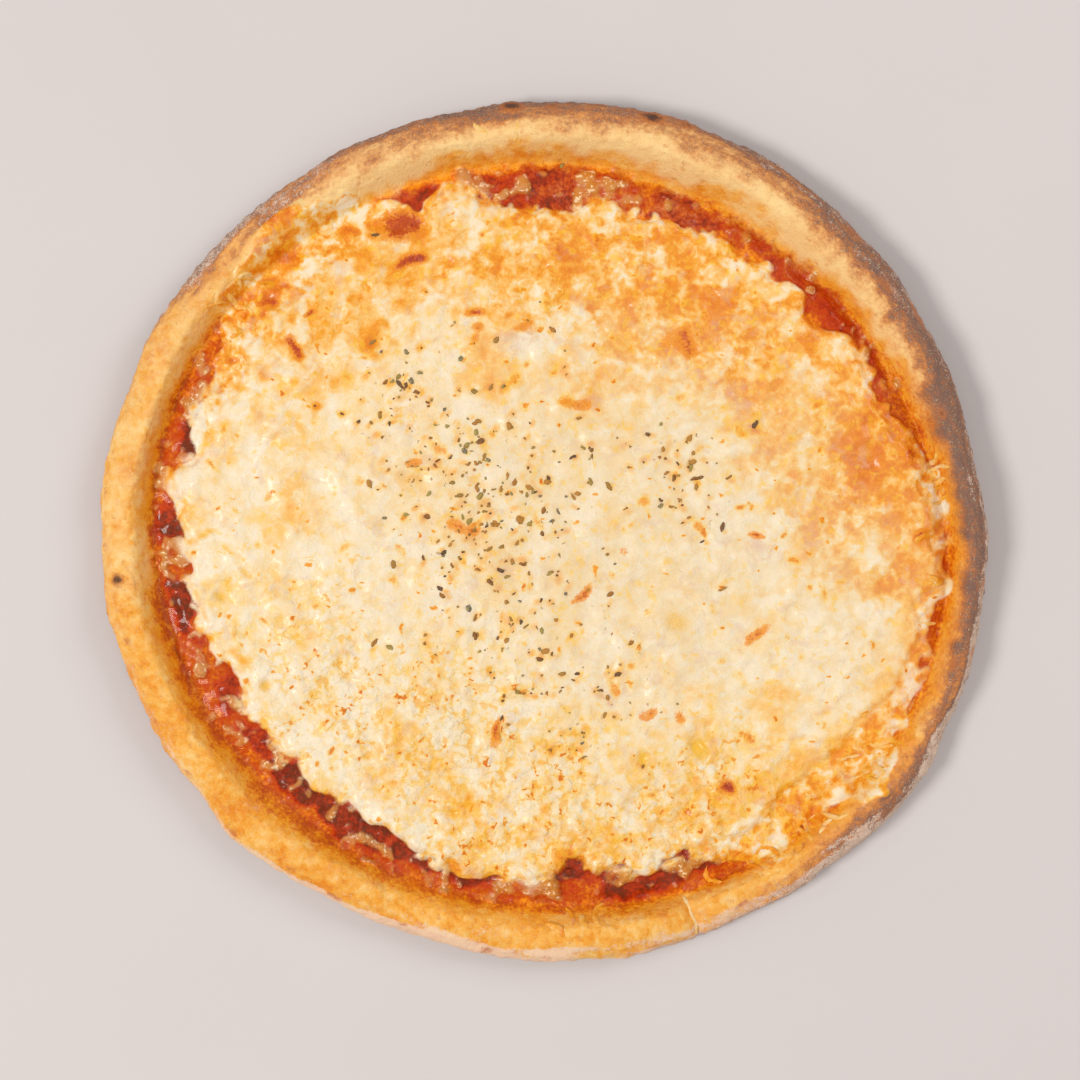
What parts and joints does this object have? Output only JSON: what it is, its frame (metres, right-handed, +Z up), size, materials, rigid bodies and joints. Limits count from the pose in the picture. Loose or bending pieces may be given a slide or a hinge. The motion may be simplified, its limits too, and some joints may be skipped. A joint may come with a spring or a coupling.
{
  "type": "margherita pizza",
  "caption": "Whole baked margherita pizza with a puffed crust rim, tomato sauce and a sheet of melted cheese strewn with dried herbs, for table and food scenes.",
  "frame": {"origin": "centre of the bounding box's bottom face, where the flat underside of the crust rests", "axes": "+Z up out of the toppings; seen from above, the side of the rim with the highest, brownest crest lies towards +X and +Y"},
  "size_m": [0.2824, 0.2744, 0.0186],
  "materials": {
    "crust": "baked dough, golden with brown patches, a little flour and a thin gloss of oil inside the rim",
    "tomato_sauce": "wet, slightly grainy tomato sauce",
    "melted_cheese": "melted pale yellow cheese with orange oil, soft gloss",
    "dried_herbs": "crumbled dry olive and brown leaf"
  },
  "bodies": {
    "root": {"crust": "crust", "tomato_sauce": "tomato_sauce", "melted_cheese": "melted_cheese"}
  },
  "joints": []
}
